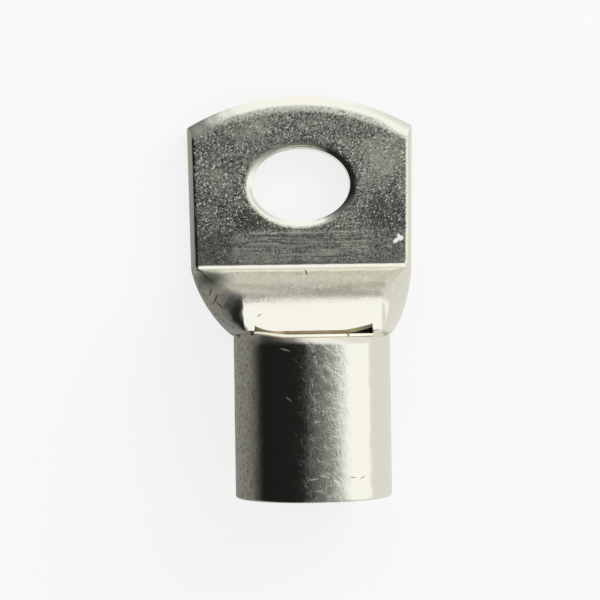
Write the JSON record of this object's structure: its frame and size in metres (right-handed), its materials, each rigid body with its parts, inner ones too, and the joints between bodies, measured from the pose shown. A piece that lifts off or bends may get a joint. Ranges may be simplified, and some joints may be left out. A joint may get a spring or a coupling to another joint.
{
  "type": "cable lug",
  "caption": "Tinned copper tube lug: a round barrel takes a stripped conductor, and a flat palm with an oval stud hole bolts to a terminal.",
  "frame": {"origin": "centre of the stud hole on the seating face", "axes": "+Y along the palm away from the barrel, +Z out of the palm's front face, -Z out of the seating face"},
  "size_m": [0.032, 0.0559, 0.0216],
  "materials": {
    "tinned_copper": "bright tin plating over copper, rubbed and mottled"
  },
  "bodies": {
    "root": {"cable_lug": "tinned_copper"}
  },
  "joints": []
}
